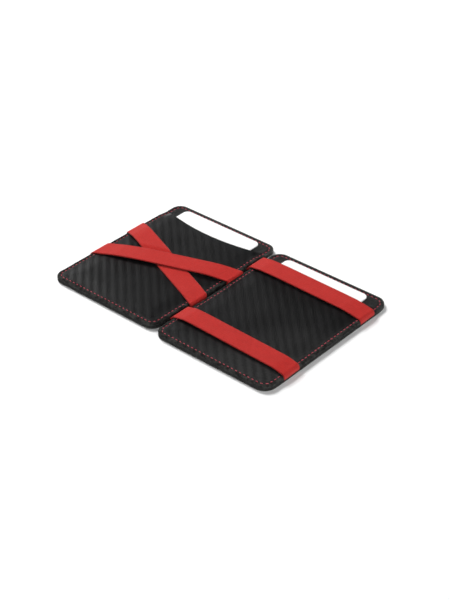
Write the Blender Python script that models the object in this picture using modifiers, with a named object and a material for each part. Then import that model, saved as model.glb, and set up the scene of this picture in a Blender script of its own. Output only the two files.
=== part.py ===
"""Flip wallet: two stiff leather panels held side by side by four elastic bands, a card in each pocket.

Frame: metres, +X from the left panel to the right one, +Y towards the card mouths, +Z up.
The wallet lies open and flat with its inside face up, and the origin is under its middle.
"""

import math

import bmesh
import bpy
from mathutils import Vector

MM = 0.001

# Panels
PANEL_WIDTH = 73 * MM
PANEL_LENGTH = 100 * MM
CORNER_RADIUS = 6 * MM
CORNER_SEGMENTS = 5
LEAST_RADIUS = 1 * MM
HINGE_GAP = 2.4 * MM
HINGE_SLIP = 2.4 * MM  # how far the right panel has slid along the hinge
PANEL_X = (HINGE_GAP + PANEL_WIDTH) / 2
PANEL_Y = HINGE_SLIP / 2

# Layers, from the table upwards
COVER_TOP = 0.8 * MM
COVER_EDGE = 0.3 * MM
LINER = (0.9 * MM, 1.0 * MM)
BOARD = (1.1 * MM, 1.5 * MM)
INNER_INSET = 5.2 * MM  # liner and board end inside the seam
BACKING_SEAM = (0.95 * MM, 1.8 * MM)
BACKING_MIDDLE = (1.65 * MM, 2.2 * MM)
CARD = (2.6 * MM, 3.3 * MM)
FRONT_SEAM = (2.0 * MM, 3.25 * MM)
FRONT_MIDDLE = (3.42 * MM, 4.0 * MM)

# Where a layer leaves the seam's height for its middle height: inset underneath, and on top
BACKING_RISE = ((3.2 * MM, 4.8 * MM), 4.2 * MM)
FRONT_RISE = ((3.0 * MM, 6.5 * MM), 6.0 * MM)
# Rounded upper edges, as (inset, depth below the seam's top)
BACKING_EDGE = ((0, 0.2 * MM), (0.25 * MM, 0.03 * MM))
FRONT_EDGE = ((0, 0.85 * MM), (0.3 * MM, 0.45 * MM), (1.0 * MM, 0.1 * MM))
# Beyond the thumb cut the backing's folded edge is thicker, from this far past the cut
MOUTH_RISE = 0.5 * MM
MOUTH_STEP_START = 0.2 * MM
MOUTH_STEP_LENGTH = 0.5 * MM

# Stitching
STITCH_INSET = 2.2 * MM
GROOVE_HALF = 0.4 * MM
GROOVE_SLOPE = 0.1 * MM
GROOVE_DEPTH = 0.3 * MM
BACK_GROOVE_DEPTH = 0.5 * MM
THREAD_RADIUS = 0.2 * MM
THREAD_LIFT = 0.32 * MM  # thread centre above the floor of its groove
THREAD_SEGMENTS = 5
# The thread steps down from the pocket front to the backing: (distance, share of the fall)
THREAD_STEP_START = 0.55 * MM
THREAD_FALL = ((0, 0), (0.12 * MM, 0.5), (0.6 * MM, 1))

# Card and the thumb cut above it
CARD_WIDTH = 54 * MM
CARD_LENGTH = 85.6 * MM
CARD_CORNER = 3.18 * MM
CARD_TOP_INSET = 3.4 * MM
MOUTH_MIDDLE_Y = 33.2 * MM
MOUTH_RADIUS = 118 * MM
MOUTH_SEGMENTS = 24
MOUTH_CUT_FLOOR = MM

# Elastic bands
BAND_WIDTH = 12.1 * MM
BAND_THICKNESS = 0.8 * MM
BAND_GAP = 0.15 * MM
# Band ends in Y from the middle of the panel they are sewn to: (bottom, top)
STRAIGHT_OUTER_Y = (-30.9 * MM, 30.3 * MM)
STRAIGHT_HINGE_Y = (-31.2 * MM, 29.4 * MM)
CROSS_ENDS_Y = (-15.3 * MM, 13.3 * MM)
TAIL_DEPTH = 3.6 * MM
NOTCH_DEPTH = 4.6 * MM
NOTCH_CLEARANCE = 0.35 * MM
BAND_SPLIT_HALF = 0.11 * MM
BAND_LIE_Z = FRONT_MIDDLE[1] + BAND_GAP + BAND_THICKNESS / 2
BAND_TAIL_Z = 1.4 * MM
BAND_OVERHANG = 0.6 * MM  # how far a band stands out where it wraps the panel's outer edge
BAND_RUN_INSET = 6.5 * MM
BAND_RUN_STEPS = 24
STRAIGHT_LIFT = 0.7 * MM  # how far a slack straight band stands off the leather
STRAIGHT_RAMP = 13 * MM
CROSS_SLACK = 0.3 * MM
CROSS_LIFT = BAND_THICKNESS + BAND_GAP + CROSS_SLACK
CROSS_FLAT = 18 * MM
CROSS_RAMP = 12 * MM
CROSS_SLOPE = (CROSS_ENDS_Y[1] - CROSS_ENDS_Y[0] + HINGE_SLIP) / (HINGE_GAP + PANEL_WIDTH)
# Corners of a band's path, as (drop below its lying height, radius, segments)
SHOULDER = (0, 8 * MM, 3)
OUTER_CORNER = (0.7 * MM, 1.9 * MM, 5)
HINGE_CORNER = (0.3 * MM, 1.6 * MM, 5)
HINGE_CORNER_INSET = 0.8 * MM
# Corners where a band turns into its slot, as (radius, segments)
OUTER_TUCK = (0.5 * MM, 4)
HINGE_TUCK = (0.8 * MM, 3)
HINGE_TUCK_REACH = 0.6 * MM

# Fold
FOLD_CLEARANCE = 0.2 * MM
CROSS_TOP = BAND_LIE_Z + BAND_THICKNESS / 2 + CROSS_LIFT
FOLD_Z = (CROSS_TOP + FRONT_MIDDLE[1] + FOLD_CLEARANCE) / 2

CUTTER_OVERSIZE = 4 * MM


def clear_scene():
    for existing in list(bpy.data.objects):
        bpy.data.objects.remove(existing, do_unlink=True)


def new_collection(name, hidden=False):
    collection = bpy.data.collections.new(name)
    collection.hide_render = hidden
    bpy.context.scene.collection.children.link(collection)
    return collection


def principled(name, color, roughness, metallic=0.0):
    material = bpy.data.materials.new(name)
    material.use_nodes = True
    shader = material.node_tree.nodes["Principled BSDF"]
    shader.inputs["Base Color"].default_value = (*color, 1)
    shader.inputs["Roughness"].default_value = roughness
    shader.inputs["Metallic"].default_value = metallic
    return material


def place(name, data, collection, material=None, location=(0, 0, 0), parent=None):
    piece = bpy.data.objects.new(name, data)
    collection.objects.link(piece)
    piece.parent = parent
    origin = parent.location if parent else Vector((0, 0, 0))
    piece.location = Vector(location) - origin
    if material:
        data.materials.append(material)
    return piece


def rounded_rectangle(width, length, radius, segments):
    """Points of a rounded rectangle about the origin, anticlockwise from its right side."""
    points = []
    centres = ((1, 1, 0), (-1, 1, 90), (-1, -1, 180), (1, -1, 270))
    for side_x, side_y, start in centres:
        for step in range(segments + 1):
            angle = math.radians(start + 90 * step / segments)
            points.append((
                side_x * (width / 2 - radius) + radius * math.cos(angle),
                side_y * (length / 2 - radius) + radius * math.sin(angle),
            ))
    return points


def panel_outline(inset, segments=CORNER_SEGMENTS):
    radius = max(CORNER_RADIUS - inset, LEAST_RADIUS)
    return rounded_rectangle(PANEL_WIDTH - 2 * inset, PANEL_LENGTH - 2 * inset, radius, segments)


def panel_ring(inset, z, mouth_rise=0):
    """A closed ring at this inset, whose stretch beyond the thumb cut stands mouth_rise higher."""
    outline = panel_outline(inset)
    corner = CORNER_SEGMENTS + 1
    side = PANEL_WIDTH / 2 - inset
    step_low = mouth_y(PANEL_WIDTH / 2) + MOUTH_STEP_START
    step_high = step_low + MOUTH_STEP_LENGTH
    top = [(x, y, z + mouth_rise) for x, y in outline[: 2 * corner]]
    left = [(-side, step_high, z + mouth_rise), (-side, step_low, z)]
    bottom = [(x, y, z) for x, y in outline[2 * corner :]]
    right = [(side, step_low, z), (side, step_high, z + mouth_rise)]
    return top + left + bottom + right


def rings_to_mesh(name, rings):
    """A closed plate lofted through rings of equal point count, bottom ring to top ring."""
    shape = bmesh.new()
    loops = [[shape.verts.new(point) for point in ring] for ring in rings]
    count = len(loops[0])
    shape.faces.new(reversed(loops[0]))
    shape.faces.new(loops[-1])
    for lower, upper in zip(loops, loops[1:]):
        for i in range(count):
            j = (i + 1) % count
            shape.faces.new((lower[i], lower[j], upper[j], upper[i]))
    mesh = bpy.data.meshes.new(name)
    shape.to_mesh(mesh)
    shape.free()
    return mesh


def panel_layer(name, profile):
    """A layer of the panel whose section is a list of (inset, height) or (inset, height, mouth rise)."""
    return rings_to_mesh(name, [panel_ring(*point) for point in profile])


def groove(surface, floor):
    """Section points of the stitch groove, from the edge side inwards."""
    near = STITCH_INSET - GROOVE_HALF
    far = STITCH_INSET + GROOVE_HALF
    return [
        (near - GROOVE_SLOPE, surface),
        (near, floor),
        (far, floor),
        (far + GROOVE_SLOPE, surface),
    ]


def plate_from_outline(name, outline, bottom, top, collection):
    """A flat outline as a filled 2D curve, extruded and turned into a welded mesh."""
    curve = bpy.data.curves.new(name, "CURVE")
    curve.dimensions = "2D"
    curve.fill_mode = "BOTH"
    curve.extrude = (top - bottom) / 2
    spline = curve.splines.new("POLY")
    spline.points.add(len(outline) - 1)
    for point, (x, y) in zip(spline.points, outline):
        point.co = (x, y, 0, 1)
    spline.use_cyclic_u = True
    guide = place(name + "_curve", curve, collection)
    bpy.context.view_layer.update()
    graph = bpy.context.evaluated_depsgraph_get()
    mesh = bpy.data.meshes.new_from_object(guide.evaluated_get(graph))
    bpy.data.objects.remove(guide, do_unlink=True)
    shape = bmesh.new()
    shape.from_mesh(mesh)
    bmesh.ops.translate(shape, verts=shape.verts, vec=(0, 0, (top + bottom) / 2))
    bmesh.ops.remove_doubles(shape, verts=shape.verts, dist=0.001 * MM)
    bmesh.ops.recalc_face_normals(shape, faces=shape.faces)
    shape.to_mesh(mesh)
    shape.free()
    return mesh


def cut(piece, cutter):
    modifier = piece.modifiers.new("cut_" + cutter.name, "BOOLEAN")
    modifier.operation = "DIFFERENCE"
    modifier.solver = "EXACT"
    modifier.object = cutter


def make_cutter(name, mesh, collection, location, parent):
    cutter = place(name, mesh, collection, None, location, parent)
    cutter.hide_render = True
    cutter.display_type = "WIRE"
    return cutter


def mouth_y(x):
    """Height of the thumb cut above the panel's middle, at x from the panel's middle."""
    return MOUTH_MIDDLE_Y + MOUTH_RADIUS - math.sqrt(MOUTH_RADIUS**2 - x**2)


def mouth_outline():
    half = PANEL_WIDTH / 2 + CUTTER_OVERSIZE
    top = PANEL_LENGTH / 2 + CUTTER_OVERSIZE
    xs = [half * (2 * step / MOUTH_SEGMENTS - 1) for step in range(MOUTH_SEGMENTS + 1)]
    return [(x, mouth_y(x)) for x in xs] + [(half, top), (-half, top)]


def band_half_width_y(slope):
    return BAND_WIDTH / 2 * math.sqrt(1 + slope**2)


def cover_mesh():
    floor = BACK_GROOVE_DEPTH
    back_groove = groove(0, floor)
    profile = [(INNER_INSET, 0)] + back_groove[::-1]
    profile += [(COVER_EDGE, 0), (0, COVER_EDGE), (0, COVER_TOP), (INNER_INSET, COVER_TOP)]
    return panel_layer("outer_cover", profile)


def flat_layer_mesh(name, heights):
    bottom, top = heights
    return panel_layer(name, [(INNER_INSET, bottom), (INNER_INSET, top)])


def backing_mesh():
    low, high = BACKING_SEAM
    under, over = BACKING_MIDDLE
    (seam_inset, middle_inset), top_inset = BACKING_RISE
    profile = [(middle_inset, under), (seam_inset, low), (0, low)]
    edge = [(inset, high - drop) for inset, drop in BACKING_EDGE]
    edge += groove(high, high - GROOVE_DEPTH)
    profile += [(inset, z, MOUTH_RISE) for inset, z in edge]
    profile += [(top_inset, over)]
    return panel_layer("backing_leather", profile)


def pocket_front_mesh():
    low, high = FRONT_SEAM
    under, over = FRONT_MIDDLE
    (seam_inset, middle_inset), top_inset = FRONT_RISE
    profile = [(middle_inset, under), (seam_inset, low), (0, low)]
    profile += [(inset, high - drop) for inset, drop in FRONT_EDGE]
    profile += groove(high, high - GROOVE_DEPTH)
    profile += [(top_inset, over)]
    return panel_layer("pocket_front", profile)


def card_mesh():
    outline = rounded_rectangle(CARD_WIDTH, CARD_LENGTH, CARD_CORNER, CORNER_SEGMENTS)
    rings = [[(x, y, z) for x, y in outline] for z in CARD]
    return rings_to_mesh("card", rings)


def thread_curve(name, points):
    curve = bpy.data.curves.new(name, "CURVE")
    curve.dimensions = "3D"
    curve.bevel_depth = THREAD_RADIUS
    curve.bevel_resolution = 0
    spline = curve.splines.new("POLY")
    spline.points.add(len(points) - 1)
    for point, co in zip(spline.points, points):
        point.co = (*co, 1)
    spline.use_cyclic_u = True
    return curve


def back_thread_points():
    z = BACK_GROOVE_DEPTH / 2
    return [(x, y, z) for x, y in panel_outline(STITCH_INSET, THREAD_SEGMENTS)]


def front_thread_points():
    """The row lies on the pocket front, and steps down to the backing beyond the thumb cut."""
    high = FRONT_SEAM[1] - GROOVE_DEPTH + THREAD_LIFT
    low = BACKING_SEAM[1] + MOUTH_RISE - GROOVE_DEPTH + THREAD_LIFT
    side = PANEL_WIDTH / 2 - STITCH_INSET
    step_y = mouth_y(side) + THREAD_STEP_START
    fall = [(ahead, high + (low - high) * share) for ahead, share in THREAD_FALL]
    outline = panel_outline(STITCH_INSET, THREAD_SEGMENTS)
    corner = THREAD_SEGMENTS + 1
    top = [(x, y, low) for x, y in outline[: 2 * corner]]
    bottom = [(x, y, high) for x, y in outline[2 * corner :]]
    left = [(-side, step_y + ahead, z) for ahead, z in reversed(fall)]
    right = [(side, step_y + ahead, z) for ahead, z in fall]
    return top + left + bottom + right


def make_panel(side, centre, parent, parts, cutters, materials):
    """One panel of the wallet, with its card, its four band notches and both thread rows."""
    location = (centre[0], centre[1], 0)

    def add(name, data, material):
        return place(f"{side}_{name}", data, parts, materials[material], location, parent)

    add("outer_cover", cover_mesh(), "leather")
    add("shielding_liner", flat_layer_mesh("shielding_liner", LINER), "film")
    add("core_board", flat_layer_mesh("core_board", BOARD), "board")
    backing = add("backing_leather", backing_mesh(), "smooth_leather")
    front = add("pocket_front", pocket_front_mesh(), "leather")
    add("front_stitching", thread_curve("front_thread", front_thread_points()), "thread")
    add("back_stitching", thread_curve("back_thread", back_thread_points()), "thread")

    cut_top = FRONT_MIDDLE[1] + CUTTER_OVERSIZE
    mouth = plate_from_outline("mouth", mouth_outline(), MOUTH_CUT_FLOOR, cut_top, cutters)
    cut(front, make_cutter(f"{side}_mouth_cutter", mouth, cutters, location, parent))

    straight_y = STRAIGHT_OUTER_Y if side == "right" else STRAIGHT_HINGE_Y
    slots = ((-1, "cross", CROSS_SLOPE, CROSS_ENDS_Y), (1, "straight", 0, straight_y))
    for edge, kind, slope, ends in slots:
        half = band_half_width_y(slope) + NOTCH_CLEARANCE + slope * TAIL_DEPTH
        inner = edge * (PANEL_WIDTH / 2 - NOTCH_DEPTH)
        outer = edge * (PANEL_WIDTH / 2 + CUTTER_OVERSIZE)
        x0, x1 = sorted((inner, outer))
        for end, middle in zip(("bottom", "top"), ends):
            y0, y1 = middle - half, middle + half
            outline = [(x0, y0), (x1, y0), (x1, y1), (x0, y1)]
            name = f"{side}_notch_{kind}_{end}"
            mesh = plate_from_outline(name, outline, COVER_TOP, FRONT_SEAM[0], cutters)
            cut(backing, make_cutter(name, mesh, cutters, location, parent))

    card_y = PANEL_LENGTH / 2 - CARD_TOP_INSET - CARD_LENGTH / 2
    card_at = (centre[0], centre[1] + card_y, 0)
    place(f"{side}_card", card_mesh(), parts, materials["card"], card_at, parent)


def rounded_path(corners):
    """Points of a polyline whose corners (x, z, radius, segments) are arcs of that radius."""
    path = [Vector(corners[0][:2])]
    for before, corner, after in zip(corners, corners[1:], corners[2:]):
        here = Vector(corner[:2])
        radius, segments = corner[2:]
        back = (Vector(before[:2]) - here).normalized()
        ahead = (Vector(after[:2]) - here).normalized()
        half_angle = back.angle(ahead) / 2
        reach = radius / math.tan(half_angle)
        centre = here + (back + ahead).normalized() * radius / math.sin(half_angle)
        start = here + back * reach - centre
        turn = start.angle_signed(here + ahead * reach - centre)
        for step in range(segments + 1):
            angle = -turn * step / segments
            arm = Vector((
                start.x * math.cos(angle) - start.y * math.sin(angle),
                start.x * math.sin(angle) + start.y * math.cos(angle),
            ))
            path.append(centre + arm)
    path.append(Vector(corners[-1][:2]))
    return path


def lying_corner(x, corner):
    drop, radius, segments = corner
    return (x, BAND_LIE_Z - drop, radius, segments)


def base_path():
    """The centre line in X and Z of a band lying flat on the left panel, from tuck to tuck."""
    outer = -HINGE_GAP / 2 - PANEL_WIDTH
    edge = -HINGE_GAP / 2
    other = HINGE_GAP / 2
    run_start = outer + BAND_RUN_INSET
    run_end = edge - BAND_RUN_INSET
    step = (run_end - run_start) / BAND_RUN_STEPS
    run = [run_start + step * index for index in range(1, BAND_RUN_STEPS)]
    wrap = rounded_path([
        (outer + TAIL_DEPTH, BAND_TAIL_Z),
        (outer - BAND_OVERHANG, BAND_TAIL_Z, *OUTER_TUCK),
        lying_corner(outer - BAND_OVERHANG, OUTER_CORNER),
        lying_corner(run_start, SHOULDER),
        (run[0], BAND_LIE_Z),
    ])
    dip = rounded_path([
        (run[-1], BAND_LIE_Z),
        lying_corner(run_end, SHOULDER),
        lying_corner(edge - HINGE_CORNER_INSET, HINGE_CORNER),
        (other - HINGE_TUCK_REACH, BAND_TAIL_Z, *HINGE_TUCK),
        (other + TAIL_DEPTH, BAND_TAIL_Z),
    ])
    return wrap + [Vector((x, BAND_LIE_Z)) for x in run[1:-1]] + dip


def ease(share):
    share = min(max(share, 0), 1)
    return share * share * (3 - 2 * share)


def slack_lift(x):
    """How far a slack straight band stands off the leather, x from the hinge line."""
    from_hinge = -x - HINGE_GAP / 2
    from_outer = PANEL_WIDTH - from_hinge
    return STRAIGHT_LIFT * ease(from_hinge / STRAIGHT_RAMP) * ease(from_outer / STRAIGHT_RAMP)


def crossing_lift(x):
    """How far the upper crossed band rises to pass over the lower one."""
    return CROSS_LIFT * ease(1 - (abs(x - crossing_x()) - CROSS_FLAT) / CROSS_RAMP)


def no_lift(x):
    return 0


def band_path(lift):
    return [Vector((point.x, point.y + lift(point.x))) for point in base_path()]


def path_at(path, x):
    """The first segment of the path that crosses x, and the point on it there."""
    index = next(i for i in range(1, len(path)) if path[i - 1].x < x <= path[i].x)
    start, end = path[index - 1], path[index]
    return index, start.lerp(end, (x - start.x) / (end.x - start.x))


def split_path(path):
    """The main run up to the hinge line, and the tail beyond it, with a small gap between."""
    main_end, last = path_at(path, -BAND_SPLIT_HALF)
    tail_start, first = path_at(path, BAND_SPLIT_HALF)
    return path[:main_end] + [last], [first] + path[tail_start:]


def band_piece(name, path, mirror, line, collection, material, parent):
    """A ribbon along the path, sheared in Y along line = (y at the outer edge, y at the hinge)."""
    outer_x = -HINGE_GAP / 2 - PANEL_WIDTH
    slope = (line[1] - line[0]) / (HINGE_GAP + PANEL_WIDTH)
    half = band_half_width_y(slope)
    origin = parent.location if parent else Vector((0, 0, 0))
    shape = bmesh.new()
    rows = []
    for point in path:
        y = line[0] + slope * (point.x - outer_x)
        x = -point.x if mirror else point.x
        sides = [Vector((x, y + side * half, point.y)) for side in (-1, 1)]
        rows.append([shape.verts.new(corner - origin) for corner in sides])
    for (a, b), (c, d) in zip(rows, rows[1:]):
        shape.faces.new((a, c, d, b))
    mesh = bpy.data.meshes.new(name)
    shape.to_mesh(mesh)
    shape.free()
    piece = place(name, mesh, collection, material, origin, parent)
    thickness = piece.modifiers.new("thickness", "SOLIDIFY")
    thickness.thickness = BAND_THICKNESS
    thickness.offset = 0
    thickness.use_even_offset = True


def make_band(name, path, mirror, line, main_parent, tail_parent, collection, material):
    main, tail = split_path(path)
    band_piece(name, main, mirror, line, collection, material, main_parent)
    band_piece(name + "_tail", tail, mirror, line, collection, material, tail_parent)


def cross_line(end):
    """Y of a crossed band at the left panel's outer edge and at its tail in the right panel."""
    return PANEL_Y + CROSS_ENDS_Y[end], -PANEL_Y + CROSS_ENDS_Y[1 - end]


def straight_line(end):
    """Y of a straight band at the right panel's outer edge and at its tail in the left panel."""
    return -PANEL_Y + STRAIGHT_OUTER_Y[end], PANEL_Y + STRAIGHT_HINGE_Y[end]


def crossing_x():
    over_outer, over_hinge = cross_line(0)
    under_outer, under_hinge = cross_line(1)
    share = (under_outer - over_outer) / ((over_hinge - over_outer) - (under_hinge - under_outer))
    return -HINGE_GAP / 2 - PANEL_WIDTH + share * (HINGE_GAP + PANEL_WIDTH)


def main():
    clear_scene()
    parts = new_collection("minimalist_wallet")
    cutters = new_collection("cutters", hidden=True)
    materials = {
        "leather": principled("black_carbon_leather", (0.016, 0.016, 0.017), 0.5),
        "smooth_leather": principled("black_smooth_leather", (0.018, 0.018, 0.019), 0.55),
        "film": principled("shielding_film", (0.6, 0.6, 0.62), 0.35, 1.0),
        "board": principled("grey_board", (0.32, 0.3, 0.27), 0.9),
        "thread": principled("red_thread", (0.48, 0.07, 0.1), 0.6),
        "card": principled("white_card", (0.88, 0.88, 0.88), 0.4),
        "elastic": principled("red_elastic", (0.55, 0.035, 0.035), 0.75),
    }
    fold_axis = place("right_panel_fold_axis", None, parts, location=(0, 0, FOLD_Z))
    make_panel("left", (-PANEL_X, PANEL_Y), None, parts, cutters, materials)
    make_panel("right", (PANEL_X, -PANEL_Y), fold_axis, parts, cutters, materials)
    elastic = materials["elastic"]
    for name, lift, end in (("cross_band_over", crossing_lift, 0), ("cross_band_under", no_lift, 1)):
        make_band(name, band_path(lift), False, cross_line(end), None, fold_axis, parts, elastic)
    for name, end in (("straight_band_bottom", 0), ("straight_band_top", 1)):
        path = band_path(slack_lift)
        make_band(name, path, True, straight_line(end), fold_axis, None, parts, elastic)


main()
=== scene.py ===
import math
from functools import partial

import bmesh
import bpy
import numpy as np
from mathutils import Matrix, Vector


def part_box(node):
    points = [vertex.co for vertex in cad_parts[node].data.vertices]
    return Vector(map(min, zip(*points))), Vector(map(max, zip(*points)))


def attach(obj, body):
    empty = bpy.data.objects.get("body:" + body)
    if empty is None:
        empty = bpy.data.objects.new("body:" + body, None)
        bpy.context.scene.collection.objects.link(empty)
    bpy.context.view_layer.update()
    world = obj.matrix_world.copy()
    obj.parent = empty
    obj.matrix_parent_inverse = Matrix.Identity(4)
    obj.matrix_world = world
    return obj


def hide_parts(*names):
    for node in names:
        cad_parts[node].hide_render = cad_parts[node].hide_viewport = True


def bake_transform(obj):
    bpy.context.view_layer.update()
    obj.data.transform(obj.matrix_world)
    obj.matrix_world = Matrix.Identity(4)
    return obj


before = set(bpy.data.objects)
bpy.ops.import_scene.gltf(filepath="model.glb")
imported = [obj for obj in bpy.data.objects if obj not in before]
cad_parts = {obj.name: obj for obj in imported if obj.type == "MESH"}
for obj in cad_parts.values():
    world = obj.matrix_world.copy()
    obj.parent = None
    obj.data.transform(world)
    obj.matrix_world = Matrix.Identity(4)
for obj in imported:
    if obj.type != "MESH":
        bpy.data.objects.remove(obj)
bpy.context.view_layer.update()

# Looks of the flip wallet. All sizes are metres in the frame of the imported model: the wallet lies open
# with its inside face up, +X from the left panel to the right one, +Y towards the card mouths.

MM = 0.001

# Panel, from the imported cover
COVER_LOW, COVER_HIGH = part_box("left_outer_cover")
HALF_X = (COVER_HIGH.x - COVER_LOW.x) / 2
HALF_Y = (COVER_HIGH.y - COVER_LOW.y) / 2
CORNER_RADIUS = 6 * MM
SEAM_WIDTH = CORNER_RADIUS  # the rings of the seam end here, and the flat middle begins
HINGE_EDGE = -COVER_HIGH.x  # half the gap between the panels

# Heights of the layers
COVER_TOP = COVER_HIGH.z
COVER_EDGE = 0.35 * MM
COVER_INNER = 5.2 * MM
CUT_HEIGHTS = (1.25 * MM, 0.85 * MM)  # the cover's cut edge shows its raw grey fibre below these
BACKING_LOW = 0.95 * MM
BACKING_SEAM_TOP = 1.8 * MM
BACKING_MIDDLE = (1.65 * MM, 2.2 * MM)  # (underside, top) inside the seam
BACKING_EDGE = 0.3 * MM
BACKING_HOLLOW = (3.2 * MM, 4.8 * MM)  # the backing's underside rises between these depths
MOUTH_RISE = 0.5 * MM  # how far the backing's seam rises where no pocket front lies on it
MOUTH_STEP = 0.6 * MM
MOUTH_STEP_START = 0.2 * MM  # the backing rises from this far past the cut
SEAT_STEP_START = 0.1 * MM  # and the stitches step down to it from here
FRONT_LOW = 2.0 * MM
FRONT_SEAM_TOP = 3.25 * MM
FRONT_MIDDLE = (3.42 * MM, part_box("left_pocket_front")[1].z)
FRONT_EDGE_DROP = 0.8 * MM
FRONT_EDGE_WIDTH = 1.25 * MM
FRONT_HOLLOW = 3 * MM  # the front's underside rises from this depth to the end of the seam

# Thumb cut
MOUTH_MIDDLE_Y = 33.2 * MM
MOUTH_RADIUS = 118 * MM
LIP = ((0.1 * MM, 0.04 * MM), (0.17 * MM, 0.16 * MM))  # the cut edge bulges: (outwards, down)

# Mesh density
FRONT_STEP = 0.335 * MM
COVER_STEP = 0.5 * MM
BACKING_STEP = 0.7 * MM
SEAM_DEPTHS = [depth * MM for depth in (
    0, 0.08, 0.2, 0.36, 0.55, 0.8, 1.1, 1.4, 1.65, 1.8, 1.95, 2.1, 2.2, 2.3, 2.45, 2.6, 2.75, 3.0,
    3.4, 3.9, 4.5, 5.2, 6.0,
)]

# Stitching
STITCH_INSET = 2.2 * MM
STITCH_PITCH = 2.6 * MM
STITCH_LENGTH = 1.55 * MM
THREAD_HALF_WIDTH = 0.23 * MM
THREAD_HALF_HEIGHT = 0.15 * MM
THREAD_TWIST = 0.42 * MM
STITCH_DIVE = 0.42 * MM
STITCH_SLANT = 0.16 * MM
STITCH_SEAT = 0.8  # height of a stitch's middle over its groove, in half heights of the thread
STITCH_THINNING = 0.35  # share of its girth that a stitch loses at its ends
STITCH_RINGS = 9
LOOKAHEAD = 0.05 * MM  # to the next point, for a stitch's direction
THREAD_SIDES = 8
GROOVE_DEPTH = 0.2 * MM
GROOVE_WIDTH = 0.55 * MM
HOLE_DEPTH = 0.12 * MM
HOLE_WIDTH = 0.3 * MM

# Embossed carbon twill
TOW = 1.53 * MM
TWILL_RELIEF = 0.1 * MM
PRESS = {"left": 1.0, "right": 0.85}  # how hard the pattern was pressed into each pocket front
TOW_CROWN = 0.4  # share of a tow's relief that is its own roundness
RIDGE_SHARE = 0.72  # share of the relief that is the diagonal ridge
RIM_EMBOSS = 0.15  # share of the relief left on the rim
EMBOSS_START = 1.9 * MM  # the pattern grows to its full depth from here on
EMBOSS_RAMP = 1.2 * MM
EMBOSS_EDGE = 0.9 * MM  # and dies out towards the cut edge over this width
FADED_EMBOSS = 0.3  # share of the pattern left on the pocket front's faint right side
EMBOSS_FADE_X = (-24 * MM, 20 * MM)  # it fades between these
FRONT_RISE_WIDTH = 9 * MM
DOME_SHARE = 0.45  # share of the front's rise over the card that is a dome
UNEVENNESS = 0.035 * MM
MOUTH_TAPER = 0.7 * MM  # how far the pocket front's seam thins out towards the ends of its mouth
MOUTH_TAPER_LENGTH = 7 * MM
MOUTH_TAPER_DEPTHS = (2.6 * MM, 6 * MM)  # the thinning ends between these depths
EDGE_RUFFLE = 0.07 * MM
EDGE_RUFFLE_WIDTH = 1.6 * MM

# Panel edges that stray from their true lines
OUTER_TRIM = {"left": -0.4 * MM, "right": 1.6 * MM}  # how far outside its line each outer edge was cut
TRIM_DRIFT = 0.2  # share of the trim that grows from the closed end to the mouth
TRIM_CORNER_LOSS = 0.8  # share of the trim that is lost towards the corners
TRIM_CORNERS = (39 * MM, 52 * MM)  # where it is lost, by distance from the panel's middle along Y
HINGE_BOW = {"left": 1.2 * MM, "right": 0.6 * MM}  # how far towards +X each hinge edge bows
HINGE_BOW_Y = -6 * MM
HINGE_BOW_REACH = 32 * MM
EDGE_PULL_START = 26 * MM  # points further out than this from the panel's middle move with their edge

# The black turns lighter grey towards the right panel's low corner, by x - y
GREY_CORNER_START = 52 * MM
GREY_CORNER_END = 108 * MM
# Wear at the cut edges: full up to the first depth, gone at the second
FRAYED_DEPTHS = (1.7 * MM, 3.8 * MM)
RUBBED_DEPTHS = (0.2 * MM, 1.0 * MM)
RUBBED_Y = (0.7 * HALF_Y, 0.95 * HALF_Y)  # the backing's wear grows between these, near the mouth

# Elastic bands, as in the CAD. Their shapes are worked out on the left panel.
OUTER_X = -HINGE_EDGE - 2 * HALF_X
BAND_WIDTH = 12.1 * MM
BAND_THICKNESS = 0.8 * MM
BAND_LIE_Z = FRONT_MIDDLE[1] + 0.55 * MM
BAND_TAIL_Z = 1.4 * MM
# How far a band stands out from the edge it turns over, and how far it sags below its seam there
CROSS_OVERHANG = (0.42 * MM, 0.25 * MM)
STRAIGHT_OVERHANG = (-0.3 * MM, 0.1 * MM)
CROSSING_LIFT = 0.8 * MM  # how far the under band rises again beside the one that presses on it
CROSSING_GAP = 0.2 * MM
CROSSING_RAMP = 4 * MM
CROSSING_END_RAMP = 12 * MM
BAND_TAIL = 3.6 * MM  # how far a band's ends reach into their seams
OUTER_TUCK = (1.5 * MM, 0.6 * MM)  # the bend inside the outer seam: (distance from the edge, radius)
HINGE_TUCK = (0.85 * MM, 0.7 * MM)  # and the one before the hinge seam
SAG_RADIUS = 0.5 * MM
BAND_RUN_INSET = 6.5 * MM
BAND_RUN_RADIUS = 12 * MM
HINGE_REACH = 1.2 * MM  # a slack band comes down only past the hinge edge
STRAIGHT_OUTER_Y = (-30.9 * MM, 30.3 * MM)
STRAIGHT_HINGE_Y = (-31.2 * MM, 29.4 * MM)
CROSS_ENDS_Y = (-15.3 * MM, 13.3 * MM)
BAND_STEP = 0.45 * MM
BAND_RIBS = 9
BAND_RIB_RELIEF = 0.03 * MM
BAND_PICK = 0.42 * MM
BAND_ACROSS = 45
BAND_SELVEDGE = 0.06  # share of the half width that each edge is softened over
BAND_SELVEDGE_THICKNESS = 0.35

CARD_CORNER = 3.18 * MM
CARD_SOFTENING = 0.08 * MM
CARD_CORNER_POINTS = 13
CARD_SETTLE = (0, -0.25 * MM, -0.2 * MM)  # how a card has settled into its pocket

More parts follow.
